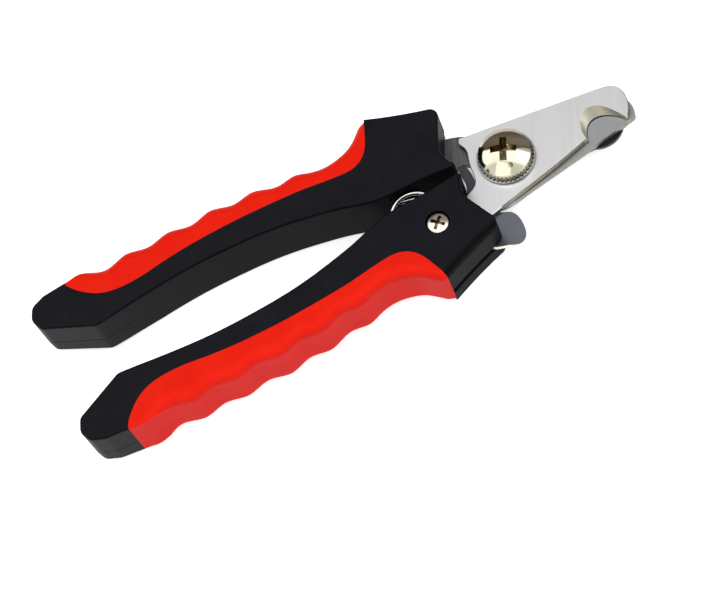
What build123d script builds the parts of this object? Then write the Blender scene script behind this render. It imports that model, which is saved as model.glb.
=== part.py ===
from build123d import *
import math
import os

os.makedirs("parts", exist_ok=True)

# Pet nail trimmer: scissor-type cutter with two notched blades on one pivot
# bolt, two-shell plastic handles with soft outer grips, a torsion spring
# between the handles, a lock lever and a swinging guard plate.
# Everything is drawn about a point beside the pivot axis (x toward the blade
# tips, y toward the upper handle, z toward the front face, z = 0 where the
# blades meet) and
# shifted at the end so that the origin is the centre of the footprint.

# ---------------------------------------------------------------- dimensions
SHIFT_X = 45.885          # drawing origin ahead of the middle of the length
PIVOT_XY = (-0.45, 0.4)   # pivot axis
Z_FRONT = 9.6             # front faces of the handles above the blade plane
Z_REAR = -6.5             # rear faces of the handles
TAIL_SEAM = 0.8           # height of the shell parting line behind the heads
SEAM_STEP_X = -38.0       # where the parting line steps up
EDGE_R = 0.7              # rounding of the hard plastic edges
SOFT_R = 3.0              # rounding of the soft grips and of the lower head's side
BLADE_T = 1.8             # thickness of each blade
BLADE_GAP = 0.03          # half of the clearance between the blades
OPEN_DEG = 20.0           # full opening of the handles
TAPER_X = -97.0           # where the rear face starts to rise toward the tail
TAIL_RISE = 2.2

BOLT_R = 3.0              # pivot bolt shank
BOLT_HEAD_R = 6.7
BOLT_HEAD_H = 4.3
BOLT_RIM = 1.8            # straight side of the head under its dome
BORE_R = 3.05             # running bores on the pivot bolt
WASHER_R = 7.6
WASHER_T = 0.65
TOOTH_T = 0.55
GUARD_T = 1.0
NUT_AF = 10.0
NUT_T = 2.6

SCREW_XY = (-23.7, -11.0)  # handle screw, lower handle (mirrored in the upper)
SCREW_R = 1.4
SCREW_HEAD_R = 2.9
SCREW_HEAD_H = 2.25       # the head ends just under the face
LEVER_T = 1.5
LEVER_TOP = -0.1

SPRING_XY = (-27.8, -3.65)
SPRING_WIRE = 1.3
SPRING_R = 5.9            # mean coil radius
GRIP_SKIN = 2.4           # thickness of the soft skin over the core


def pts(seq, s=1):
    """Points of the upper handle, or their mirror image for the lower one."""
    return [(x, y * s) for x, y in seq]


def nearest(shape, x, y):
    return min(shape.vertices(), key=lambda v: math.hypot(v.X - x, v.Y - y))


def slab(face, z0, z1):
    """Prism of a face drawn at z = 0, from z0 up to z1."""
    return Pos(0, 0, z0) * extrude(face, z1 - z0, dir=(0, 0, 1))


def poly(seq):
    return make_face(Polyline(*seq, close=True))


def cyl(x, y, r, z0, z1):
    return Pos(x, y, (z0 + z1) / 2) * Cylinder(r, z1 - z0)


def one(shape):
    """The largest solid of a result."""
    return max(shape.solids(), key=lambda s: s.volume)


# ------------------------------------------------------------------- handles
OUTER = [(-112.5, 22.75), (-110.0, 23.0), (-103.5, 21.5), (-97.0, 22.9), (-91.3, 21.8),
         (-85.0, 22.9), (-79.0, 21.7), (-73.0, 22.9), (-67.0, 21.4), (-61.5, 22.1),
         (-55.0, 20.2), (-50.0, 20.7), (-46.5, 19.6), (-43.0, 18.8), (-40.0, 18.9),
         (-37.0, 19.6), (-35.0, 20.4), (-33.0, 21.75), (-31.0, 23.6), (-29.6, 24.7),
         (-28.2, 25.15)]
HEAD_TOP = [(-28.2, 25.15), (-19.0, 21.35), (-9.3, 18.2)]
FRONT = [(-9.3, 18.2), (-10.95, 15.9), (-12.65, 12.2), (-14.1, 8.9), (-14.6, 7.0), (-14.5, 5.0),
         (-13.9, 3.2), (-13.1, 1.9), (-12.8, 0.9)]
INNER = [(-12.8, 0.9), (-15.0, 1.1), (-17.0, 1.3), (-20.0, 1.6), (-28.0, 1.9), (-33.0, 2.1),
         (-36.0, 2.6), (-40.0, 3.8), (-45.0, 5.4), (-50.0, 6.6), (-55.0, 7.65),
         (-60.0, 8.5), (-65.0, 9.1), (-70.0, 9.45), (-75.0, 9.65), (-80.0, 9.75),
         (-85.0, 9.7), (-90.0, 9.45), (-95.0, 9.05), (-100.0, 8.55), (-105.0, 7.95),
         (-111.3, 7.3)]
TAIL = [(-111.3, 7.3), (-124.4, 13.7), (-125.75, 17.3), (-124.3, 20.6), (-120.5, 22.1), (-112.5, 22.75)]
# edge of the soft grip on the front and rear faces
GRIP_LINE = [(-114.4, 24.5), (-114.3, 22.3), (-112.7, 19.6), (-110.0, 17.0), (-107.0, 15.1),
             (-105.0, 14.4), (-102.0, 13.9), (-100.0, 13.8), (-95.0, 14.0), (-90.0, 14.7),
             (-85.0, 15.25), (-80.0, 15.6), (-75.0, 15.75), (-70.0, 15.8), (-65.0, 15.7),
             (-60.0, 15.5), (-55.0, 15.2), (-50.0, 14.8), (-45.0, 14.1), (-40.0, 13.5),
             (-37.0, 13.4), (-35.0, 13.8), (-33.0, 14.9), (-31.0, 17.2), (-29.5, 20.5),
             (-28.3, 23.6), (-27.7, 25.5)]


def outline(s):
    edges = [Spline(*pts(OUTER, s)), ThreePointArc(*pts(HEAD_TOP, s)),
             Spline(*pts(FRONT, s)), Spline(*pts(INNER, s)),
             Polyline(*pts(TAIL, s))]
    face = make_face(Curve() + edges)
    for x, y, r in ((-28.2, 25.15, 2.2), (-9.3, 18.2, 2.2), (-12.8, 0.9, 0.7),
                    (-111.3, 7.3, 3.0), (-124.4, 13.7, 2.2), (-125.75, 17.3, 2.6),
                    (-124.3, 20.6, 2.6), (-120.5, 22.1, 3.0)):
        face = fillet(nearest(face, x, y * s), r)
    return face


def curve_y(seq, x):
    """Height of a point list at x, by straight interpolation."""
    q = sorted(seq)
    for (xa, ya), (xb, yb) in zip(q, q[1:]):
        if xa <= x <= xb:
            return ya + (yb - ya) * (x - xa) / (xb - xa)
    return q[0][1] if x < q[0][0] else q[-1][1]


def handle_blank(s):
    """One handle's full thickness; the rear face rises toward the tail."""
    body = slab(outline(s), Z_REAR, Z_FRONT)
    run, rise = 29.0, TAIL_RISE
    wedge = extrude(Plane.XZ * make_face(Polyline((TAPER_X + 0.01, Z_REAR), (TAPER_X - run, Z_REAR + rise),
                                                  (TAPER_X - run, Z_REAR - 5), (TAPER_X + 0.01, Z_REAR - 5), close=True)), 40, both=True)
    body = one(body - wedge)
    rear = [f for f in body.faces() if f.geom_type == GeomType.PLANE and f.normal_at().Z < -0.9]
    crease = [e for e in body.edges() if sum(1 for f in rear for g in f.edges() if g.is_same(e)) > 1]
    low = [e for f in rear for e in f.edges() if not any(e.is_same(c) for c in crease)]
    return fillet(low + list(body.edges().group_by(Axis.Z)[-1]), EDGE_R)


def soft_blank(s):
    """Rounds the grip's long outer edges more than the hard plastic's."""
    ahead = [(-25.6, 26.2)]
    behind = [(-119.0, 27.2), (-112.5, 26.2), (-108.6, 23.9)]
    line = behind + OUTER[2:] + ahead
    face = make_face(Curve() + [Spline(*pts(line, s)),
                                Polyline(*pts([line[-1], (-25.6, 0.0), (-119.0, 0.0), line[0]], s))])
    body = slab(face, Z_REAR, Z_FRONT)
    long_edges = [e for e in body.edges().group_by(Axis.Z)[0] + body.edges().group_by(Axis.Z)[-1]
                  if e.geom_type == GeomType.BSPLINE]
    return fillet(long_edges, SOFT_R)


def soft_head(s):
    """The same rounding along the head's side, on the front face only."""
    line = [(-60.0, 38.5), (-28.2, 25.15), (-19.0, 21.35), (-10.2, 18.5), (2.0, 14.8)]
    face = make_face(Curve() + [Spline(*pts(line, s)),
                                Polyline(*pts([line[-1], (2.0, -10.0), (-135.0, -10.0), (-135.0, 38.5), line[0]], s))])
    body = slab(face, Z_REAR - 1, Z_FRONT)
    long_edges = [e for e in body.edges().group_by(Axis.Z)[-1] if e.geom_type == GeomType.BSPLINE]
    return fillet(long_edges, SOFT_R)


def grip_and_body(s):
    """The soft grip and the hard plastic inside it."""
    blank = handle_blank(s)
    region = make_face(Curve() + [Spline(*pts(GRIP_LINE, s)),
                                  Polyline(*pts([GRIP_LINE[-1], (-27.7, 34.0), (-114.4, 34.0), GRIP_LINE[0]], s))])
    grip_full = blank & slab(region, Z_REAR - 1, Z_FRONT + 1)
    edge = [(x, y - GRIP_SKIN) for x, y in OUTER if -110.1 < x < -32.0]
    core = make_face(Curve() + [Spline(*pts(edge, s)),
                                Polyline(*pts([edge[-1], (edge[-1][0], 2.0), (edge[0][0], 2.0), edge[0]], s))])
    core = slab(core, Z_REAR + 1.8, Z_FRONT - 1.8)
    grip = one(grip_full - core)
    hard = one(blank - grip)
    if s < 0:
        hard = one(hard & soft_head(s))
    return one(grip & soft_blank(s)), hard


def seam_split(s):
    """Everything in front of the stepped parting line."""
    front = slab(poly(pts([(-140, -5), (-140, 40), (0, 40), (0, -5)], s)), TAIL_SEAM, 20)
    head = slab(poly(pts([(SEAM_STEP_X, -5), (SEAM_STEP_X, 40), (0, 40), (0, -5)], s)), 0, 20)
    return front + head


def pocket(s, x0, x1, z0, z1):
    """A hollow between two ribs inside the handle."""
    lo, hi = [], []
    n = 5
    for i in range(n + 1):
        x = x0 + (x1 - x0) * i / n
        lo.append((x, curve_y(INNER, x) + 2.8))
        hi.append((x, min(curve_y(OUTER, x) - GRIP_SKIN - 2.4, curve_y(INNER, x) + 10.5)))
    face = make_face(Polyline(*pts(lo + hi[::-1], s), close=True))
    return slab(face, z0, z1)


# -------------------------------------------------------------------- blades
HEEL = [(-9.2, 10.7), (-9.25, 10.0), (-8.65, 8.6), (-8.5, 7.0), (-9.0, 5.0), (-9.6, 2.0),
        (-10.0, -1.0), (-10.9, -2.6), (-12.3, -3.45), (-14.3, -4.5)]
TANG = [(-14.3, -4.5), (-18.0, -6.3), (-21.0, -7.2), (-30.0, -7.4), (-45.0, -9.4), (-71.0, -12.2),
        (-73.2, -13.9), (-71.0, -15.4), (-45.0, -13.4), (-34.0, -13.2), (-20.0, -15.4),
        (-12.5, -13.1), (-10.5, -12.1)]
EDGE_LOW = [(-10.5, -12.1), (-5.0, -11.0), (0.0, -9.95), (5.0, -8.95), (10.0, -7.85),
            (15.0, -6.6), (19.0, -5.5)]
TIP_OUT = [(30.0, 5.65), (31.5, 5.05), (32.75, 3.85), (33.35, 2.4), (33.5, 1.2), (33.3, -0.5),
           (32.5, -2.9), (31.5, -4.35), (30.85, -4.9)]
EDGE_TOP = [(-7.9, 11.35), (-5.0, 10.95), (0.0, 10.25), (5.0, 9.5), (10.0, 8.75), (15.0, 8.0),
            (20.0, 7.25), (25.0, 6.5), (28.0, 6.05), (30.0, 5.65)]
NOTCH_FACE = [(19.35, -6.6), (19.3, -4.2), (19.5, -2.0), (20.3, 0.0), (21.5, 1.5), (23.0, 2.3),
              (24.5, 2.35), (26.0, 1.7), (27.5, 0.3), (28.8, -1.5), (30.0, -3.5), (31.0, -5.5)]
NOTCH_EDGE = [(19.7, -6.6), (19.85, -5.0), (20.3, -3.6), (20.9, -2.4), (21.9, -1.3), (23.2, -0.7),
              (24.6, -0.6), (26.1, -0.95), (27.6, -1.75), (29.0, -2.85), (30.1, -3.9), (31.0, -5.5)]

# the rear blade's own heel, relieved where the lock lever's nose swings
HEEL_REAR = [(-14.5, 5.7), (-13.4, 5.3), (-12.7, 4.75), (-12.1, 5.05), (-11.3, 5.2), (-10.4, 5.0),
             (-9.3, 4.2), (-8.0, 2.9), (-7.0, 1.5), (-6.45, 0.2), (-6.2, -1.5), (-5.8, -3.6)]
SHOULDER = [(-13.0, 14.6), (-11.3, 14.05), (-9.8, 13.6), (-8.0, 12.8), (-6.2, 11.8), (-4.0, 10.9)]
TIP_REAR = [(30.0, -5.55), (31.8, -5.2), (33.1, -4.75), (33.6, -3.6), (33.75, -2.6), (33.7, -1.0),
            (33.35, 0.5), (32.5, 2.9), (31.5, 4.35), (30.85, 4.9)]


def notch_cutter(z_edge, z_face, s):
    """Tapered cutter: the opening is smallest at the cutting edge."""
    def sec(line, z):
        spline = Spline(*[(x, y * s) for x, y in line])
        close = Polyline((line[-1][0], line[-1][1] * s), (31.0, -9.0 * s), (line[0][0], -9.0 * s),
                         (line[0][0], line[0][1] * s))
        return Pos(0, 0, z) * make_face(Curve() + [spline, close])
    return loft([sec(NOTCH_EDGE, z_edge), sec(NOTCH_FACE, z_face)], ruled=True)


def front_blade_solid():
    plan = make_face(Curve() + [
        Spline(*HEEL), Polyline(*TANG), Spline(*EDGE_LOW), Line(EDGE_LOW[-1], TIP_OUT[-1]),
        Spline(*TIP_OUT), Spline(*EDGE_TOP), Spline(EDGE_TOP[0], (-8.8, 11.3), HEEL[0])])
    z0, z1 = BLADE_GAP, BLADE_GAP + BLADE_T
    body = slab(plan, z0, z1)
    body = chamfer(body.edges().group_by(Axis.Z)[-1], 0.2)
    body -= notch_cutter(z0 - 0.001, z1 + 0.001, 1)
    body -= cyl(*PIVOT_XY, BORE_R, -5, 5)
    body -= cyl(SCREW_XY[0], SCREW_XY[1], SCREW_R + 0.1, -5, 5)
    body -= cyl(-52.0, -11.5, 1.55, -5, 5)
    return one(body)


def rear_blade_solid():
    tang = [(x, -y) for x, y in TANG][:-2] + [SHOULDER[0]]
    tang[0] = (-14.5, 5.7)
    tang[1] = (-18.0, 6.4)
    low = [(-8.0, -10.6), (-5.0, -10.9), (0.0, -10.1), (5.0, -9.35), (10.0, -8.6), (15.0, -7.85),
           (20.0, -7.1), (25.0, -6.35), (28.0, -5.9), (30.0, -5.55)]
    top = SHOULDER + [(x, -y) for x, y in EDGE_LOW if x > -1]
    plan = make_face(Curve() + [
        Spline(*HEEL_REAR), Line(HEEL_REAR[-1], low[0]), Spline(*low), Spline(*TIP_REAR),
        Line(TIP_REAR[-1], top[-1]), Spline(*top), Polyline(*tang)])
    z0, z1 = -BLADE_GAP - BLADE_T, -BLADE_GAP
    body = slab(plan, z0, z1)
    body -= notch_cutter(z1 + 0.001, z0 - 0.001, -1)
    body -= cyl(*PIVOT_XY, BORE_R, -5, 5)
    body -= cyl(SCREW_XY[0], -SCREW_XY[1], SCREW_R + 0.1, -5, 5)
    body -= cyl(-52.0, 11.5, 1.55, -5, 5)
    return one(body)


# --------------------------------------------------------------- lock lever
LEVER = [(-26.4, -9.2), (-25.0, -7.4), (-22.9, -6.8), (-20.5, -7.0), (-17.5, -6.3), (-14.6, -4.2),
         (-12.9, -1.4), (-12.45, 1.2), (-12.6, 3.0), (-12.35, 4.2), (-11.4, 4.85), (-10.5, 4.4),
         (-10.05, 3.2), (-9.9, 1.0), (-10.25, -1.2), (-11.5, -3.4), (-13.3, -6.2), (-14.6, -8.7),
         (-13.5, -10.5), (-11.0, -11.3), (-8.8, -11.45), (-7.2, -12.15), (-5.8, -13.0), (-4.95, -14.4),
         (-4.6, -16.4), (-4.75, -18.6), (-5.2, -20.2), (-6.1, -21.3), (-7.3, -21.8), (-8.6, -21.6), (-9.8, -21.0),
         (-11.4, -20.4), (-13.3, -19.7), (-15.6, -18.3), (-18.6, -16.4), (-21.6, -15.0), (-24.4, -14.75), (-26.5, -13.3),
         (-27.0, -11.3)]


def lever_solid():
    face = make_face(Spline(*LEVER, periodic=True))
    body = slab(face, LEVER_TOP - LEVER_T, LEVER_TOP)
    body -= cyl(SCREW_XY[0], SCREW_XY[1], SCREW_R + 0.05, -5, 5)
    return one(body)


def lever_room():
    """Slot in the lower rear shell: open at the front and along the outer side."""
    return slab(poly([(-27.7, -5.4), (-15.5, -2.0), (-13.0, 6.0), (-5.0, 6.0), (-5.0, -30.0), (-27.7, -30.0)]),
                LEVER_TOP - LEVER_T - 0.35, 0.0)


# ------------------------------------------------------------ small hardware
def cross_recess(size, width, depth, z_top, angle):
    arms = Box(size, width, depth) + Box(width, size, depth)
    arms = Pos(0, 0, z_top - depth / 2) * arms
    return Rot(0, 0, angle) * arms


def domed_head(r, h, rim, z0):
    """Cap on a short rim, from z0 up."""
    cap_h = h - rim
    sphere_r = (r * r + cap_h * cap_h) / (2 * cap_h)
    body = cyl(0, 0, r, z0, z0 + h)
    ball = Pos(0, 0, z0 + h - sphere_r) * Sphere(sphere_r)
    return body & ball


def ring(r_in, r_out, z0, z1):
    return cyl(0, 0, r_out, z0, z1) - cyl(0, 0, r_in, z0 - 1, z1 + 1)


Z_W1 = BLADE_GAP + BLADE_T                 # front face of the front blade
Z_W2 = Z_W1 + WASHER_T
Z_W3 = Z_W2 + TOOTH_T                      # under the bolt head
Z_B = -BLADE_GAP - BLADE_T                 # rear face of the rear blade
Z_G1 = Z_B - 0.15
Z_G2 = Z_G1 - GUARD_T
Z_V = Z_G2 - 0.55
Z_N = Z_V - NUT_T


def pivot_bolt_solid():
    body = domed_head(BOLT_HEAD_R, BOLT_HEAD_H, BOLT_RIM, Z_W3)
    body += cyl(0, 0, BOLT_R, Z_N - 0.25, Z_W3 + 0.5)
    body -= cross_recess(6.6, 1.8, 2.4, Z_W3 + BOLT_HEAD_H + 0.2, 65.0)
    return one(body)


def tooth_washer_solid():
    n = 40
    seq = []
    for i in range(n):
        for k, r in ((0.0, 7.2), (0.45, 7.2), (0.5, 6.85), (0.95, 6.85)):
            a = 2 * math.pi * (i + k) / n
            seq.append((r * math.cos(a), r * math.sin(a)))
    return one(slab(poly(seq), Z_W2, Z_W3) - cyl(0, 0, BOLT_R + 0.15, -5, 9))


def nut_solid():
    hexagon = slab(RegularPolygon(NUT_AF / 2, 6, major_radius=False), Z_N, Z_V)
    r_corner = NUT_AF / math.sqrt(3)
    trim = Pos(0, 0, (Z_N + Z_V) / 2) * Cylinder(r_corner - 0.15, NUT_T + 1)
    trim = chamfer(trim.edges().group_by(Axis.Z)[0], 0.9)
    return one((hexagon & trim) - cyl(0, 0, BOLT_R + 0.02, -20, 5))


def guard_solid():
    face = make_face(Polyline((1.2, 6.1), (22.9, 5.75), (22.9, -6.9), (1.0, -6.0), close=True))
    body = slab(face, Z_G2, Z_G1) + cyl(*PIVOT_XY, 6.2, Z_G2, Z_G1) + cyl(24.0, -0.95, 6.8, Z_G2, Z_G1)
    body -= cyl(*PIVOT_XY, BORE_R, -10, 5)
    return one(body)


def screw_head():
    """Low pan head, cross recess, drawn from z = 0 up."""
    r, h = SCREW_HEAD_R, SCREW_HEAD_H
    side = Curve() + [Polyline((0, 0), (r, 0), (r, h - 0.9)),
                      ThreePointArc((r, h - 0.9), (r - 0.12, h - 0.6), (r - 0.4, h - 0.42)),
                      ThreePointArc((r - 0.4, h - 0.42), (r / 2, h - 0.12), (0, h)), Line((0, h), (0, 0))]
    body = revolve(Plane.XZ * make_face(side), Axis.Z)
    return body - cross_recess(3.8, 0.9, 1.3, SCREW_HEAD_H + 0.05, 45.0)


def handle_screw(lower):
    """Pan-head cross screw; the lower one enters from the front, the upper from the rear."""
    if lower:
        x, y = SCREW_XY
        body = Pos(x, y, Z_FRONT - 2.3) * screw_head()
        body += cyl(x, y, SCREW_R, -4.6, Z_FRONT - 2.2)
    else:
        x, y = SCREW_XY[0], -SCREW_XY[1]
        body = Pos(x, y, Z_REAR + 2.3) * Rot(180, 0, 0) * screw_head()
        body += cyl(x, y, SCREW_R, Z_REAR + 2.2, 7.2)
    return one(body)


SPRING_Z0, SPRING_Z1 = 2.0, 6.5      # upper handle's leg, lower handle's leg
SPRING_LEG = 15.0         # length of the legs toward the tail
LEG_DEG = 15.0            # how far each leg turns outward


def leg_ends(side):
    """Where a leg leaves the coil and where it ends; side +1 is the upper handle."""
    cx, cy = SPRING_XY
    z = SPRING_Z0 if side > 0 else SPRING_Z1
    a = math.radians(LEG_DEG)
    x, y = cx + SPRING_R * math.sin(a), cy + side * SPRING_R * math.cos(a)
    return ((x, y, z), (x - SPRING_LEG * math.cos(a), y + side * SPRING_LEG * math.sin(a), z))


def rod(a, b, r):
    va, vb = Vector(*a), Vector(*b)
    return extrude(Plane(origin=va, z_dir=vb - va) * Circle(r), (vb - va).length)


def spring_solid():
    """Torsion spring: an open coil with two straight legs toward the tail."""
    cx, cy = SPRING_XY
    w = SPRING_WIRE / 2
    height = SPRING_Z1 - SPRING_Z0
    turns = 1.5 - 2 * LEG_DEG / 360
    coil = Pos(cx, cy, SPRING_Z0) * Rot(0, 0, 90 - LEG_DEG) * Helix(pitch=height / turns, height=height, radius=SPRING_R, lefthand=True)
    body = sweep(Plane(origin=coil @ 0, z_dir=coil % 0) * Circle(w), path=coil)
    for side in (-1, 1):
        a, b = leg_ends(side)
        body += Pos(*a) * Sphere(w)
        body += rod(a, b, w)
    return one(body)


def leg_groove(side):
    a, b = leg_ends(side)
    b = (b[0] - 0.6, b[1] + side * 0.15, b[2])
    mid = [(p + q) / 2 for p, q in zip(a, b)]
    length = math.dist(a, b)
    ang = math.degrees(math.atan2(b[1] - a[1], b[0] - a[0]))
    z0, z1 = -0.3, a[2] + 0.95
    return Pos(mid[0], mid[1], (z0 + z1) / 2) * Rot(0, 0, ang) * Box(length, 1.9, z1 - z0)


# ------------------------------------------------------------------ assembly
nodes = {}
nodes["front_blade"] = front_blade_solid()
nodes["rear_blade"] = rear_blade_solid()

front_side = {1: seam_split(1), -1: seam_split(-1)}
tang_room = {
    -1: slab(offset(make_face(Polyline(*(TANG + [(-8.0, -10.0), (-8.0, -4.0), (-12.3, -3.45)]), close=True)), 0.15), 0.0, Z_W1 + 0.03),
    1: slab(offset(make_face(Polyline(*([(x, -y) for x, y in TANG][:-2] + [SHOULDER[0], (-8.0, 13.0), (-8.0, 4.0), (-12.3, 3.45)]), close=True)), 0.15), Z_B - 0.03, 0.0),
}
spring_room = cyl(SPRING_XY[0], SPRING_XY[1], SPRING_R + SPRING_WIRE / 2 + 0.35, 0.9, 7.6)
spring_boss = cyl(SPRING_XY[0], SPRING_XY[1], SPRING_R - SPRING_WIRE / 2 - 0.6, 2.2, 8)
# corner of the upper rear shell that leaves the tang bare, drawn for the lower handle
CORNER = [(-15.9, 0.6), (-15.7, -5.0), (-15.15, -8.7), (-12.3, -15.9), (-11.3, -17.6), (-10.2, -18.7), (-9.0, -19.6), (-5.0, -19.6),
          (-5.0, 0.6)]
corner_cut_up = poly([(x, -y) for x, y in CORNER])

for s, name in ((-1, "lower"), (1, "upper")):
    grip, hard = grip_and_body(s)
    front = hard & front_side[s]
    rear = hard - front_side[s]
    front, rear = one(front), one(rear)
    sx, sy = SCREW_XY[0], SCREW_XY[1] * (-s)
    for x0, x1 in ((-108.0, -92.0), (-89.5, -73.5), (-71.0, -55.5), (-48.5, -39.5)):
        front -= pocket(s, x0, x1, -1.0, Z_FRONT - 2.6)
        rear -= pocket(s, x0, x1, Z_REAR + 2.6, 1.5)
    room = spring_room - spring_boss if s < 0 else spring_room
    front -= room + leg_groove(s)
    rear -= room + leg_groove(s)
    dowel = cyl(-52.0, 11.5 * s, 1.52, Z_REAR + 2.2, Z_FRONT - 2.2)
    front -= dowel
    rear -= dowel
    if s < 0:
        front -= tang_room[s]
        rear -= slab(make_face(Polyline(*(TANG[3:11]), close=True)), 0.0, Z_W1 + 0.03)
        rear -= lever_room()
        front -= cyl(sx, sy, SCREW_R + 0.1, -1, 20)
        front -= cyl(sx, sy, SCREW_HEAD_R + 0.2, Z_FRONT - 2.3, 20)
        rear -= cyl(sx, sy, SCREW_R + 0.02, -4.8, 1)
    else:
        rear -= tang_room[s]
        rear -= slab(corner_cut_up, -20, 1)
        # room for the lock lever's nose between the shells
        rear -= slab(poly([(-19.0, -1.0), (-15.0, 5.2), (-12.0, 6.6), (-8.0, 6.6), (-8.0, -1.0)]), Z_B - 0.03, 0.0)
        rear -= cyl(sx, sy, SCREW_R + 0.1, -20, 1)
        rear -= cyl(sx, sy, SCREW_HEAD_R + 0.2, -20, Z_REAR + 2.3)
        front -= cyl(sx, sy, SCREW_R + 0.02, -1, 7.4)
    nodes[name + "_handle_front_shell"] = one(front)
    nodes[name + "_handle_rear_shell"] = one(rear)
    nodes[name + "_handle_grip"] = grip
    nodes[name + "_tang_dowel"] = cyl(-52.0, 11.5 * s, 1.5, Z_REAR + 2.3, Z_FRONT - 2.3)

on_axis = Pos(*PIVOT_XY, 0)
nodes["pivot_bolt"] = on_axis * pivot_bolt_solid()
nodes["pivot_flat_washer"] = on_axis * one(ring(BOLT_R + 0.1, WASHER_R, Z_W1, Z_W2))
nodes["pivot_tooth_washer"] = on_axis * tooth_washer_solid()
nodes["pivot_rear_washer"] = on_axis * one(ring(BOLT_R + 0.1, 5.6, Z_V, Z_G2 - 0.05))
nodes["pivot_nut"] = on_axis * nut_solid()
nodes["guard_plate"] = guard_solid()
nodes["torsion_spring"] = spring_solid()
nodes["lock_lever"] = lever_solid()
nodes["lever_washer"] = one(Pos(SCREW_XY[0], SCREW_XY[1], 0) * ring(SCREW_R + 0.1, 3.8, LEVER_TOP - LEVER_T - 0.33, LEVER_TOP - LEVER_T - 0.03))
nodes["lower_handle_screw"] = handle_screw(True)
nodes["upper_handle_screw"] = handle_screw(False)

for name, shape in nodes.items():
    placed = Pos(SHIFT_X, 0, -Z_REAR) * shape
    export_step(placed, os.path.join("parts", name + ".step"))
    bb = placed.bounding_box()
    print(f"{name:28s} vol {placed.volume:9.1f}  x {bb.min.X:7.2f} {bb.max.X:7.2f}  y {bb.min.Y:7.2f} {bb.max.Y:7.2f}  z {bb.min.Z:6.2f} {bb.max.Z:6.2f}")
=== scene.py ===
import math

import bmesh
import bpy
from mathutils import Matrix, Vector


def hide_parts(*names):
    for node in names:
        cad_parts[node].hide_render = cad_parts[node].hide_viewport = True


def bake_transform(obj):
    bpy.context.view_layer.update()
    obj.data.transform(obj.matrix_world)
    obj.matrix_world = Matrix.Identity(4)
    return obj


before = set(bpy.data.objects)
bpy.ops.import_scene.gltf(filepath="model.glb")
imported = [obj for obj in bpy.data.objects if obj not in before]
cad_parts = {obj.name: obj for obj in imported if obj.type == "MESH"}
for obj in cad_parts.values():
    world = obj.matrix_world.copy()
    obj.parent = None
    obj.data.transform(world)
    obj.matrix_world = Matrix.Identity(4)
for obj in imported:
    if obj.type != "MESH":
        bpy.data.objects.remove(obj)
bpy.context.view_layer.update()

MM = 0.001
# the camera's reference point and the pivot axis, in the row frame, at the
# plane where the two blades meet
AIM = Vector((45.885, 0.0, 6.5)) * MM
PIVOT = AIM + Vector((-0.45, 0.4, 0.0)) * MM


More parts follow.
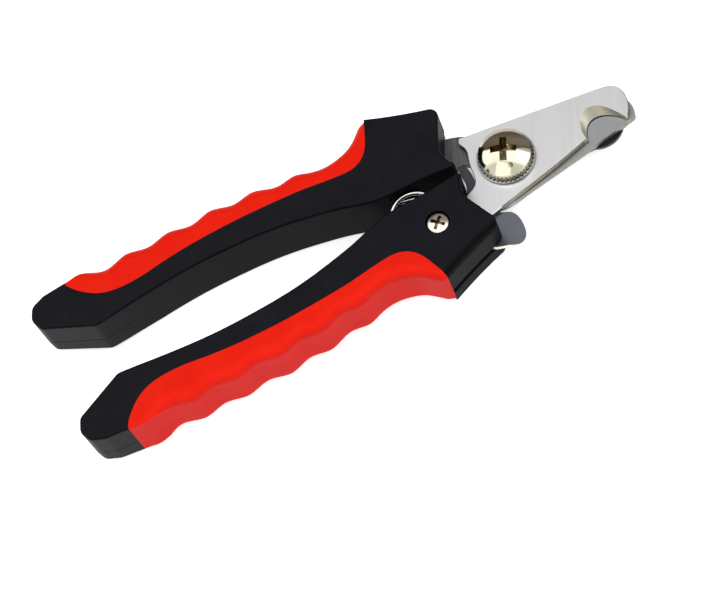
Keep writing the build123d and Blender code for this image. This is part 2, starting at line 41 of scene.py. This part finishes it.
# ---------------------------------------------------------------- materials
class Tree:
    """A few short calls to write a node material with."""

    def __init__(self, name):
        self.m = bpy.data.materials.new(name)
        self.m.use_nodes = True
        self.t = self.m.node_tree
        self.t.nodes.clear()
        self.out = self.t.nodes.new("ShaderNodeOutputMaterial")
        self.p = self.t.nodes.new("ShaderNodeBsdfPrincipled")
        self.t.links.new(self.p.outputs["BSDF"], self.out.inputs["Surface"])
        self.coord = self.t.nodes.new("ShaderNodeTexCoord").outputs["Object"]

    def node(self, kind, **props):
        n = self.t.nodes.new(kind)
        for k, v in props.items():
            setattr(n, k, v)
        return n

    def put(self, socket, value):
        if isinstance(value, bpy.types.NodeSocket):
            self.t.links.new(value, socket)
        elif value is not None:
            socket.default_value = value

    def set(self, **values):
        """Principled inputs, spaces written as _."""
        for k, v in values.items():
            self.put(self.p.inputs[k.replace("_", " ")], v)

    def mapped(self, scale=(1, 1, 1), rot=(0, 0, 0), loc=(0, 0, 0), source=None):
        n = self.node("ShaderNodeMapping")
        self.put(n.inputs["Vector"], source or self.coord)
        n.inputs["Scale"].default_value = scale
        n.inputs["Rotation"].default_value = [math.radians(a) for a in rot]
        n.inputs["Location"].default_value = loc
        return n.outputs["Vector"]

    def brushed(self, angle, along=0.06, across=4.0):
        """Coordinates stretched along a direction in the object's plane, in degrees."""
        return self.mapped((along, across, 1.0), source=self.mapped(rot=(0, 0, -angle)))

    def noise(self, scale, detail=2.0, rough=0.5, source=None, distortion=0.0):
        n = self.node("ShaderNodeTexNoise")
        self.put(n.inputs["Vector"], source or self.coord)
        n.inputs["Scale"].default_value = scale
        n.inputs["Detail"].default_value = detail
        n.inputs["Roughness"].default_value = rough
        n.inputs["Distortion"].default_value = distortion
        return n.outputs["Fac"]

    def voronoi(self, scale, source=None, feature="F1"):
        n = self.node("ShaderNodeTexVoronoi", feature=feature)
        self.put(n.inputs["Vector"], source or self.coord)
        n.inputs["Scale"].default_value = scale
        return n.outputs["Distance"]

    def ramp(self, fac, *stops):
        n = self.node("ShaderNodeValToRGB")
        self.put(n.inputs["Fac"], fac)
        e = n.color_ramp.elements
        while len(e) > 1:
            e.remove(e[-1])
        e[0].position, e[0].color = stops[0][0], colour(stops[0][1])
        for at, c in stops[1:]:
            new = e.new(at)
            new.color = colour(c)
        return n.outputs["Color"]

    def map(self, value, a, b, c, d, clamp=True):
        n = self.node("ShaderNodeMapRange")
        n.clamp = clamp
        self.put(n.inputs["Value"], value)
        for k, v in zip(("From Min", "From Max", "To Min", "To Max"), (a, b, c, d)):
            n.inputs[k].default_value = v
        return n.outputs["Result"]

    def math(self, op, a, b=None, c=None):
        n = self.node("ShaderNodeMath", operation=op)
        for s, v in zip(n.inputs, (a, b, c)):
            self.put(s, v)
        return n.outputs["Value"]

    def mix(self, fac, a, b, mode="MIX"):
        n = self.node("ShaderNodeMix", data_type="RGBA", blend_type=mode)
        self.put(n.inputs[0], fac)
        self.put(n.inputs[6], a if isinstance(a, bpy.types.NodeSocket) else colour(a))
        self.put(n.inputs[7], b if isinstance(b, bpy.types.NodeSocket) else colour(b))
        return n.outputs[2]

    def split(self, vector=None):
        n = self.node("ShaderNodeSeparateXYZ")
        self.put(n.inputs[0], vector or self.coord)
        return n.outputs

    def bump(self, height, distance, strength=1.0, normal=None):
        n = self.node("ShaderNodeBump")
        self.put(n.inputs["Height"], height)
        n.inputs["Distance"].default_value = distance
        n.inputs["Strength"].default_value = strength
        if normal is not None:
            self.put(n.inputs["Normal"], normal)
        return n.outputs["Normal"]


def colour(c):
    """sRGB 0..255 to linear RGBA; a plain number is a grey, and four numbers pass through."""
    if isinstance(c, (int, float)):
        c = (c, c, c)
    if len(c) == 4:
        return c
    out = []
    for v in c:
        v = v / 255
        out.append(v / 12.92 if v <= 0.04045 else ((v + 0.055) / 1.055) ** 2.4)
    return (*out, 1.0)


def facing(t):
    """Object-space normal of the surface, split."""
    return t.split(t.node("ShaderNodeTexCoord").outputs["Normal"])


def seam(t, x, z, half=0.00011):
    """1 on the parting line of the two shells, which steps down ahead of the waist."""
    behind = t.map(x, 0.00785, 0.0079, 1.0, 0.0)
    level = t.math("ADD", 0.0065, t.math("MULTIPLY", behind, 0.0008))
    gap = t.math("ABSOLUTE", t.math("SUBTRACT", z, level))
    return t.map(gap, half * 0.5, half * 1.6, 1.0, 0.0)


def black_plastic():
    t = Tree("black_plastic")
    x, y, z = t.split()
    nx, ny, nz = facing(t)
    grain = t.noise(5200, 3, 0.65)
    pits = t.voronoi(3600)
    cloud = t.noise(160, 4, 0.6)
    flow = t.noise(60, 2, 0.5, source=t.mapped((0.35, 1.0, 1.0)))
    base = t.ramp(cloud, (0.3, (22, 22, 27)), (0.7, (27, 27, 33)))
    base = t.mix(t.map(flow, 0.35, 0.75, 0.0, 0.35), base, (20, 20, 25))
    # painted light and shade on the side walls: paler toward the tail, near black from the waist to the head
    wall = t.map(t.math("ABSOLUTE", nz), 0.25, 0.7, 1.0, 0.0)
    base = t.mix(t.math("MULTIPLY", wall, t.map(x, -0.066, -0.050, 1.0, 0.0)), base, (31, 31, 33))
    base = t.mix(t.math("MULTIPLY", wall, t.map(x, -0.062, -0.030, 0.0, 0.8)), base, (3, 3, 4))
    base = t.mix(t.math("MULTIPLY", wall, t.map(x, -0.012, 0.012, 0.0, 0.5)), base, (2, 2, 3))
    # painted shade: a near black line along the rounded edges, a few pale rubs on them
    edge = t.math("SUBTRACT", 1.0, t.math("ABSOLUTE", t.map(t.math("ABSOLUTE", nz), 0.35, 0.99, -1.0, 1.0)))
    base = t.mix(edge, base, (3, 3, 4))
    rub = t.math("MULTIPLY", edge, t.map(t.noise(520, 3, 0.65), 0.6, 0.75, 0.0, 0.5))
    base = t.mix(rub, base, (34, 34, 38))
    line = t.math("MULTIPLY", seam(t, x, z), t.map(x, -0.066, -0.045, 1.0, 0.35))
    base = t.mix(t.math("MULTIPLY", line, 0.9), base, (4, 4, 5))
    height = t.math("ADD", grain, t.math("MULTIPLY", pits, 0.5))
    height = t.math("SUBTRACT", height, t.math("MULTIPLY", line, 3.0))
    rough = t.math("ADD", t.map(grain, 0.25, 0.75, 0.36, 0.52), t.math("MULTIPLY", line, 0.4))
    t.set(Base_Color=base, Roughness=rough, Specular_IOR_Level=0.04, Normal=t.bump(height, 0.00004, 0.45))
    return t.m


def red_grip():
    t = Tree("red_grip")
    x, y, z = t.split()
    grain = t.noise(3800, 3, 0.6)
    pores = t.voronoi(2600)
    cloud = t.noise(110, 4, 0.6)
    base = t.ramp(cloud, (0.25, (222, 25, 6)), (0.75, (230, 32, 10)))
    base = t.mix(t.map(t.noise(36, 2, 0.5), 0.4, 0.7, 0.0, 0.3), base, (214, 21, 5))
    nx, ny, nz = facing(t)
    # painted shade: the side walls a darker red than the top faces
    wall = t.map(t.math("ABSOLUTE", nz), 0.2, 0.85, 1.0, 0.0)
    base = t.mix(t.math("MULTIPLY", wall, 0.9), base, t.mix(t.map(cloud, 0.3, 0.7, 0.0, 1.0), (176, 14, 8), (187, 22, 14)))
    # faint mould line round the middle of the grip
    line = t.map(t.math("ABSOLUTE", t.math("SUBTRACT", z, 0.0073)), 0.00004, 0.00016, 1.0, 0.0)
    base = t.mix(t.math("MULTIPLY", line, 0.45), base, (176, 18, 8))
    height = t.math("ADD", grain, t.math("MULTIPLY", pores, 0.6))
    height = t.math("ADD", height, t.math("MULTIPLY", cloud, 0.6))
    height = t.math("ADD", height, t.math("MULTIPLY", line, 1.2))
    t.set(Base_Color=base, Roughness=t.map(grain, 0.2, 0.8, 0.42, 0.58), Specular_IOR_Level=0.07,
          Normal=t.bump(height, 0.00004, 0.4))
    return t.m


def blade_steel(name, tone, angle, wall, dark_z=None):
    """Ground flat faces; the callers give the walls and bevels their painted light."""
    t = Tree(name)
    x, y, z = t.split()
    nx, ny, nz = facing(t)
    lines = t.noise(900, 3, 0.65, source=t.brushed(angle, 0.06, 2.5))
    fine = t.noise(2600, 2, 0.6, source=t.brushed(angle, 0.05, 2.0))
    cloud = t.noise(45, 3, 0.5)
    both = t.math("ADD", t.math("MULTIPLY", lines, 0.6), t.math("MULTIPLY", fine, 0.4))
    base = t.ramp(both, (0.3, tuple(v - 9 for v in tone)), (0.7, tone))
    base = t.mix(t.map(cloud, 0.35, 0.7, 0.0, 0.3), base, tuple(v - 9 for v in tone))
    return t, (x, y, z), (nx, ny, nz), both, base


def front_blade_steel():
    t, (x, y, z), (nx, ny, nz), both, base = blade_steel("front_blade_steel", (241, 241, 245), 66.0, None)
    # painted reflections on the walls and the hollow-ground notch: olive toward the cutting side, cream where the
    # notch faces +x on the heel side
    ex = t.math("DIVIDE", t.math("SUBTRACT", x, 0.0709), 0.0063)
    ey = t.math("DIVIDE", t.math("ADD", y, 0.005), 0.008)
    round_notch = t.math("ADD", t.math("MULTIPLY", ex, ex), t.math("MULTIPLY", ey, ey))
    in_notch = t.map(round_notch, 0.97, 1.03, 1.0, 0.0)
    wall = t.mix(in_notch, t.map(nz, 0.78, 0.92, 1.0, 0.0), t.map(nz, 0.9, 0.975, 1.0, 0.0))
    grind = t.noise(1500, 3, 0.6, source=t.mapped((3.0, 3.0, 0.25)))
    olive = t.mix(t.map(grind, 0.35, 0.65, 0.0, 1.0), (112, 108, 96), (138, 134, 120))
    bevel = t.mix(t.map(grind, 0.3, 0.7, 0.0, 1.0), (150, 146, 132), (176, 172, 156))
    cream = t.mix(t.map(grind, 0.3, 0.7, 0.0, 1.0), (214, 210, 192), (238, 236, 222))
    side = t.mix(in_notch, olive, bevel)
    side = t.mix(t.math("MULTIPLY", in_notch, t.map(nx, 0.25, 0.8, 0.0, 1.0)), side, cream)
    # painted highlight: near white along the heel's chamfered edges
    heel_edge_highlight = t.math("MULTIPLY", t.map(x, 0.0382, 0.0388, 1.0, 0.0), t.map(nz, 0.45, 0.6, 0.0, 1.0))
    side = t.mix(heel_edge_highlight, side, (252, 252, 252))
    base = t.mix(wall, base, side)
    # shadow line along the lower edge, where the blades meet
    low = t.math("MULTIPLY", t.map(z, 0.00666, 0.0068, 1.0, 0.0), wall)
    base = t.mix(low, base, (30, 29, 27))
    rough = t.math("ADD", t.map(both, 0.3, 0.7, 0.3, 0.44), t.math("MULTIPLY", wall, 0.08))
    t.set(Base_Color=base, Metallic=1.0, Roughness=rough, Normal=t.bump(both, 0.000008, 0.4))
    return t.m


def rear_blade_steel():
    t, (x, y, z), (nx, ny, nz), both, base = blade_steel("rear_blade_steel", (177, 178, 182), 66.0, None)
    # the heel behind the pivot is left dull from the mill
    heel = t.map(x, 0.0385, 0.0415, 1.0, 0.0)
    mill = t.noise(1300, 3, 0.65, source=t.brushed(66.0, 0.1, 2.5))
    mill_and_shadow = t.ramp(mill, (0.3, (96, 97, 99)), (0.7, (132, 133, 135)))
    # painted shadow: darker where the front blade's heel shades it
    mill_and_shadow = t.mix(t.map(x, 0.0362, 0.0378, 0.0, 0.55), mill_and_shadow, (40, 38, 38))
    base = t.mix(heel, base, mill_and_shadow)
    # painted light: the side walls toward the tip get a tone of their own, for the bright band of the lit rim
    wall = t.map(t.math("ABSOLUTE", nz), 0.9, 0.975, 1.0, 0.0)
    grind = t.noise(1500, 3, 0.6, source=t.mapped((3.0, 3.0, 0.25)))
    lit_rim_tone = t.mix(t.map(grind, 0.35, 0.65, 0.0, 1.0), (112, 110, 102), (146, 144, 135))
    base = t.mix(t.math("MULTIPLY", wall, t.map(x, 0.040, 0.044, 0.0, 1.0)), base, lit_rim_tone)
    rough = t.math("ADD", t.map(both, 0.3, 0.7, 0.34, 0.48), t.math("MULTIPLY", heel, 0.06))
    height = t.math("ADD", t.math("MULTIPLY", both, t.math("SUBTRACT", 1.0, heel)), t.math("MULTIPLY", mill, heel))
    t.set(Base_Color=base, Metallic=1.0, Roughness=rough, Normal=t.bump(height, 0.00001, 0.45))
    return t.m


def guard_steel():
    t = Tree("guard_steel")
    grain = t.noise(2400, 3, 0.6)
    cloud = t.noise(220, 3, 0.5)
    # painted shade: the plate coloured near black, for the shadow it sits in
    base = t.ramp(cloud, (0.3, (9, 8, 7)), (0.7, (20, 16, 13)))
    t.set(Base_Color=base, Metallic=0.3, Roughness=t.map(grain, 0.25, 0.75, 0.3, 0.46),
          Normal=t.bump(grain, 0.00003, 0.4))
    return t.m


def lever_steel():
    t = Tree("lever_steel")
    x, y, z = t.split()
    nx, ny, nz = facing(t)
    lines = t.noise(1200, 3, 0.6, source=t.mapped((0.08, 3.0, 1.0), (0, 0, 40)))
    cloud = t.noise(160, 3, 0.5)
    base = t.ramp(lines, (0.3, (112, 115, 124)), (0.7, (124, 127, 137)))
    base = t.mix(t.map(cloud, 0.35, 0.7, 0.0, 0.4), base, (117, 120, 131))
    # painted shade: darker at the nose, behind the front blade
    base = t.mix(t.map(y, -0.0125, -0.0105, 0.0, 0.75), base, (62, 58, 66))
    # sheared edge: a painted shadow line under the face, then a painted highlight band
    wall = t.map(t.math("ABSOLUTE", nz), 0.85, 0.97, 1.0, 0.0)
    band = t.map(z, 0.0061, 0.00618, 0.0, 1.0)
    shear = t.mix(band, t.mix(t.map(t.noise(1800, 2, 0.6, source=t.mapped((3.0, 3.0, 0.3))), 0.35, 0.65, 0.0, 1.0),
                              (206, 204, 196), (238, 237, 231)), (62, 62, 66))
    # painted shade on the sheared edge at the nose, behind the front blade
    shear = t.mix(t.map(y, -0.0125, -0.0105, 0.0, 0.9), shear, (40, 37, 42))
    base = t.mix(wall, base, shear)
    t.set(Base_Color=base, Metallic=1.0, Roughness=t.map(lines, 0.3, 0.7, 0.28, 0.42),
          Normal=t.bump(lines, 0.00001, 0.45))
    return t.m


def nickel(name="nickel", lo=(206, 201, 178), hi=(222, 218, 198), recess=None, rough=(0.07, 0.14)):
    """Polished plating; recess gives the centre, the dome's radius and the recess's reach, in metres."""
    t = Tree(name)
    swirl = t.noise(700, 3, 0.6)
    cloud = t.noise(240, 2, 0.5)
    base = t.ramp(cloud, (0.3, lo), (0.7, hi))
    if recess:
        centre, ball, reach = recess
        if reach > 0.003:
            nx, ny, nz = facing(t)
            # painted reflection: the dome darker where it faces away, toward +y
            far = t.math("ADD", t.math("MULTIPLY", nx, 0.43), t.math("MULTIPLY", ny, 0.9))
            base = t.mix(t.map(far, 0.12, 0.4, 0.0, 1.0), base, (152, 142, 127))
        off = t.node("ShaderNodeVectorMath", operation="SUBTRACT")
        t.put(off.inputs[0], t.coord)
        off.inputs[1].default_value = centre
        ln = t.node("ShaderNodeVectorMath", operation="LENGTH")
        t.put(ln.inputs[0], off.outputs["Vector"])
        dx, dy, dz = t.split(off.outputs["Vector"])
        r = t.math("SQRT", t.math("ADD", t.math("MULTIPLY", dx, dx), t.math("MULTIPLY", dy, dy)))
        # painted shade, dark brown down in the cross recess
        deep = t.map(ln.outputs["Value"], ball - 0.00028, ball - 0.00012, 1.0, 0.0)
        deep = t.math("MULTIPLY", deep, t.map(r, reach - 0.0001, reach, 1.0, 0.0))
        deep = t.math("MULTIPLY", deep, t.map(dz, 0.003, 0.0035, 0.0, 1.0))
        recess_shade = t.ramp(t.noise(1500, 3, 0.6), (0.35, (58, 42, 18)), (0.65, (118, 92, 48)))
        # painted highlight, bright again in the middle and toward the lower arm
        near = 0.3 if reach > 0.003 else 0.05
        recess_highlight = t.math("MULTIPLY", t.map(t.math("ADD", r, t.math("MULTIPLY", dy, 0.9)), reach * near, reach * (near + 0.3), 1.0, 0.0),
                      t.map(t.noise(1900, 2, 0.6), 0.3, 0.5, 0.0, 1.0))
        recess_shade = t.mix(recess_highlight, recess_shade, (232, 222, 190))
        base = t.mix(deep, base, recess_shade)
    t.set(Base_Color=base, Metallic=1.0, Roughness=t.map(swirl, 0.3, 0.7, *rough),
          Normal=t.bump(swirl, 0.000006, 0.45))
    return t.m


def washer_steel():
    t = Tree("washer_steel")
    nx, ny, nz = facing(t)
    lines = t.noise(1400, 3, 0.6)
    base = t.ramp(lines, (0.3, (170, 170, 172)), (0.7, (206, 206, 208)))
    wall = t.map(t.math("ABSOLUTE", nz), 0.6, 0.95, 1.0, 0.0)
    # painted shade: the washer's sides dark
    base = t.mix(wall, base, (70, 69, 68))
    t.set(Base_Color=base, Metallic=1.0, Roughness=t.map(lines, 0.3, 0.7, 0.24, 0.38),
          Normal=t.bump(lines, 0.00001, 0.45))
    return t.m


def tooth_steel():
    t = Tree("tooth_steel")
    nx, ny, nz = facing(t)
    lines = t.noise(1600, 3, 0.6)
    base = t.ramp(lines, (0.3, (98, 96, 90)), (0.7, (142, 140, 130)))
    wall = t.map(t.math("ABSOLUTE", nz), 0.6, 0.95, 1.0, 0.0)
    # painted shade: the tooth washer's sides dark
    base = t.mix(wall, base, (34, 33, 32))
    t.set(Base_Color=base, Metallic=1.0, Roughness=t.map(lines, 0.3, 0.7, 0.16, 0.3),
          Normal=t.bump(lines, 0.00001, 0.45))
    return t.m


def spring_steel():
    t = Tree("spring_steel")
    lines = t.noise(1500, 3, 0.6)
    base = t.ramp(lines, (0.3, (206, 205, 200)), (0.7, (236, 235, 230)))
    t.set(Base_Color=base, Metallic=1.0, Roughness=t.map(lines, 0.3, 0.7, 0.12, 0.22),
          Normal=t.bump(lines, 0.000008, 0.45))
    return t.m


# the domed heads are parts of a ball, centred on their axes
HEAD_BALL = 0.01023
HEAD_CENTRE = (PIVOT.x, PIVOT.y, 0.0065 + 0.00733 - HEAD_BALL)
SCREW_AT = (0.022185, -0.011)

MATERIALS = {
    "black_plastic": black_plastic(), "red_grip": red_grip(), "front_blade": front_blade_steel(),
    "rear_blade": rear_blade_steel(), "guard_steel": guard_steel(), "lever_steel": lever_steel(),
    "nickel": nickel(), "washer_steel": washer_steel(), "tooth_steel": tooth_steel(),
    "bolt_nickel": nickel("bolt_nickel", recess=(HEAD_CENTRE, HEAD_BALL, 0.0036)),
    "screw_nickel": nickel("screw_nickel", (222, 218, 202), (240, 237, 224),
                           recess=((SCREW_AT[0], SCREW_AT[1], 0.01605 - 0.0082), 0.0082, 0.0021), rough=(0.24, 0.34)),
    "spring_steel": spring_steel(),
}


def finish_of(node):
    if "shell" in node or "dowel" in node:
        return "black_plastic"
    if "grip" in node:
        return "red_grip"
    return {"front_blade": "front_blade", "rear_blade": "rear_blade", "guard_plate": "guard_steel",
            "lock_lever": "lever_steel", "torsion_spring": "spring_steel", "pivot_bolt": "bolt_nickel",
            "lower_handle_screw": "screw_nickel", "pivot_flat_washer": "washer_steel",
            "pivot_rear_washer": "washer_steel", "lever_washer": "washer_steel",
            "pivot_tooth_washer": "tooth_steel"}.get(node, "nickel")


for name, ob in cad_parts.items():
    ob.data.materials.clear()
    ob.data.materials.append(MATERIALS[finish_of(name)])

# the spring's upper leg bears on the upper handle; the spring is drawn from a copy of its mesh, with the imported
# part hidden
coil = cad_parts["torsion_spring"]
wire = bpy.data.objects.new("spring_wire", coil.data.copy())
wire.matrix_world = coil.matrix_world.copy()
bpy.context.scene.collection.objects.link(wire)
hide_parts("torsion_spring")
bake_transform(wire)

# ---------------------------------------------------------------- floor, light, camera
bm = bmesh.new()
bmesh.ops.create_grid(bm, x_segments=2, y_segments=2, size=4.0)
me = bpy.data.meshes.new("floor")
bm.to_mesh(me)
bm.free()
floor = bpy.data.objects.new("floor", me)
bpy.context.scene.collection.objects.link(floor)
floor.location = (0, 0, -0.0001)
t = Tree("floor_paper")
t.set(Base_Color=t.ramp(t.noise(30, 3, 0.5), (0.3, (248, 248, 248)), (0.7, (250, 250, 250))), Roughness=0.9,
      Specular_IOR_Level=0.1, Emission_Color=(1.0, 1.0, 1.0, 1.0), Emission_Strength=0.55)
me.materials.append(t.m)

CEILING = 1.6
world = bpy.data.worlds.new("studio")
bpy.context.scene.world = world
world.use_nodes = True
wt = world.node_tree
wt.nodes.clear()


def world_node(kind, inputs=(), **props):
    n = wt.nodes.new(kind)
    for k, v in props.items():
        setattr(n, k, v)
    for at, v in inputs:
        if isinstance(v, bpy.types.NodeSocket):
            wt.links.new(v, n.inputs[at])
        else:
            n.inputs[at].default_value = v
    return n


def world_step(value, a, b, c, d):
    return world_node("ShaderNodeMapRange", [("Value", value), ("From Min", a), ("From Max", b),
                                             ("To Min", c), ("To Max", d)]).outputs["Result"]


def world_mix(fac, a, b):
    n = world_node("ShaderNodeMix", [(0, fac), (6, a), (7, b)], data_type="RGBA")
    return n.outputs[2]


# a bright soft ceiling over the object and in front of it, a dim studio behind it
sky = world_node("ShaderNodeTexCoord").outputs["Generated"]
behind = world_node("ShaderNodeVectorMath", [(0, sky), (1, (0.513, 0.858, 0.0))], operation="DOT_PRODUCT").outputs["Value"]
rise = world_node("ShaderNodeSeparateXYZ", [(0, sky)]).outputs["Z"]
lens = world_node("ShaderNodeVectorMath", [(0, sky), (1, (0.0068, -0.4548, 0.8906))], operation="DOT_PRODUCT").outputs["Value"]
front = world_mix(world_step(rise, 0.15, 0.5, 0.0, 1.0), (0.75, 0.74, 0.72, 1.0), (0.9, 0.9, 0.88, 1.0))
wall = world_mix(world_step(behind, -0.3, -0.18, 0.0, 1.0), front, (CEILING, CEILING, CEILING * 0.98, 1.0))
dim = world_mix(world_step(behind, 0.45, 0.85, 0.0, 1.0), (0.07, 0.06, 0.05, 1.0), (0.30, 0.27, 0.235, 1.0))
tent = world_mix(world_step(behind, 0.385, 0.425, 0.0, 1.0), wall, dim)
tent = world_mix(world_step(lens, 0.9905, 0.993, 0.0, 1.0), tent, (0.05, 0.05, 0.045, 1.0))
wb = world_node("ShaderNodeBackground", [("Color", tent), ("Strength", 1.0)])
wo = world_node("ShaderNodeOutputWorld", [(0, wb.outputs[0])])


def softbox(name, at, aim, size, power, tint=(1, 1, 1)):
    lamp = bpy.data.lights.new(name, "AREA")
    lamp.shape = "RECTANGLE"
    lamp.size, lamp.size_y = size
    lamp.energy = power
    lamp.color = tint
    ob = bpy.data.objects.new(name, lamp)
    bpy.context.scene.collection.objects.link(ob)
    at, aim = Vector(at), Vector(aim)
    ob.location = at
    ob.rotation_mode = "QUATERNION"
    ob.rotation_quaternion = (aim - at).to_track_quat("-Z", "Y")
    return ob


softbox("key", (-0.45, -0.55, 0.9), (0, 0, 0), (0.9, 0.9), 1.8)
softbox("fill", (0.75, -0.2, 0.6), (0, 0, 0), (0.7, 0.7), 0.8)

CAM_EL, CAM_AZ, CAM_ROLL = math.radians(62.945), math.radians(0.857), math.radians(28.05)
CAM_DIST, PX_PER_MM, U0, V0 = 635.835, 3.965, 509.636, 161.19
right = Vector((math.cos(CAM_AZ), math.sin(CAM_AZ), 0))
back = Vector((math.sin(CAM_AZ) * math.cos(CAM_EL), -math.cos(CAM_AZ) * math.cos(CAM_EL), math.sin(CAM_EL)))
up = back.cross(right)
right_r = right * math.cos(CAM_ROLL) - up * math.sin(CAM_ROLL)
up_r = right * math.sin(CAM_ROLL) + up * math.cos(CAM_ROLL)
ox, oy = (353.5 - U0) / PX_PER_MM, -(300.0 - V0) / PX_PER_MM
cam_data = bpy.data.cameras.new("camera")
cam_data.sensor_width = 36.0
cam_data.lens = 36.0 * CAM_DIST * PX_PER_MM / 707.0
cam_data.clip_start, cam_data.clip_end = 0.05, 20.0
cam = bpy.data.objects.new("camera", cam_data)
bpy.context.scene.collection.objects.link(cam)
place = AIM + (right_r * ox + up_r * oy + back * CAM_DIST) * MM
m = Matrix((right_r, up_r, back)).transposed().to_4x4()
m.translation = place
cam.matrix_world = m
bpy.context.scene.camera = cam

bpy.context.scene.view_settings.view_transform = "Standard"

# ---------------------------------------------------------------- view layer update
bpy.context.view_layer.update()
